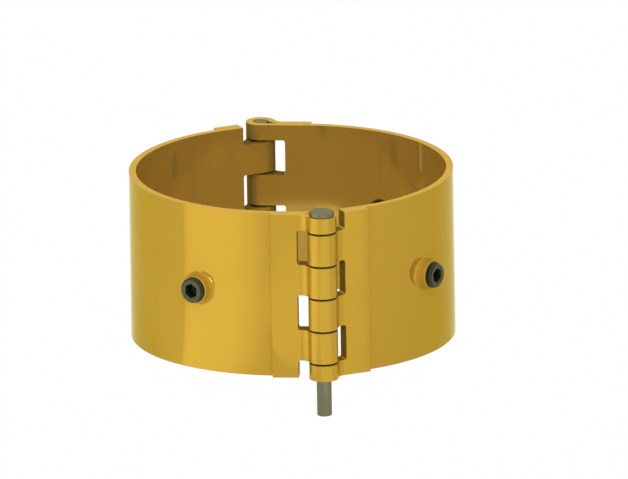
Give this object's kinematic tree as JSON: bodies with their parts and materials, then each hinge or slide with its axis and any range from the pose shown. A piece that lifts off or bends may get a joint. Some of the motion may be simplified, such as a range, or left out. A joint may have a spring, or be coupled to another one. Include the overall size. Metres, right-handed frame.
{
  "type": "hinged stop collar",
  "caption": "Stop collar in hinged halves of folded yellow steel sheet with a removable hinge pin and set screws, to lock round a casing pipe.",
  "frame": {"origin": "on the bore's axis, at half the height of the band", "axes": "+Z along the bore's axis towards the head of the removable pin, -Y towards the hinge with the removable pin, +X through the middle of the right half"},
  "size_m": [0.149, 0.1746, 0.0973],
  "materials": {
    "yellow_paint": "glossy",
    "pin_steel": "drawn",
    "screw_steel": "black oxide"
  },
  "bodies": {
    "collar": {"left_half": "yellow_paint", "right_half": "yellow_paint", "back_hinge_pin": "pin_steel"},
    "front_pin": {"front_hinge_pin": "pin_steel"},
    "set_screw_front_left_body": {"set_screw_front_left": "screw_steel"},
    "set_screw_front_right_body": {"set_screw_front_right": "screw_steel"},
    "set_screw_back_right_body": {"set_screw_back_right": "screw_steel"},
    "set_screw_back_left_body": {"set_screw_back_left": "screw_steel"}
  },
  "joints": [
    {"name": "front_pin_lift", "type": "slide", "parent": "collar", "child": "front_pin", "axis": [0, 0, 1], "range_m": [0, 0.1]},
    {"name": "set_screw_front_left_travel", "type": "slide", "parent": "collar", "child": "set_screw_front_left_body", "axis": [-0.7071, -0.7071, 0], "range_m": [-0.004, 0.01]},
    {"name": "set_screw_front_right_travel", "type": "slide", "parent": "collar", "child": "set_screw_front_right_body", "axis": [0.7071, -0.7071, 0], "range_m": [-0.004, 0.01]},
    {"name": "set_screw_back_right_travel", "type": "slide", "parent": "collar", "child": "set_screw_back_right_body", "axis": [0.7071, 0.7071, 0], "range_m": [-0.004, 0.01]},
    {"name": "set_screw_back_left_travel", "type": "slide", "parent": "collar", "child": "set_screw_back_left_body", "axis": [-0.7071, 0.7071, 0], "range_m": [-0.004, 0.01]}
  ]
}
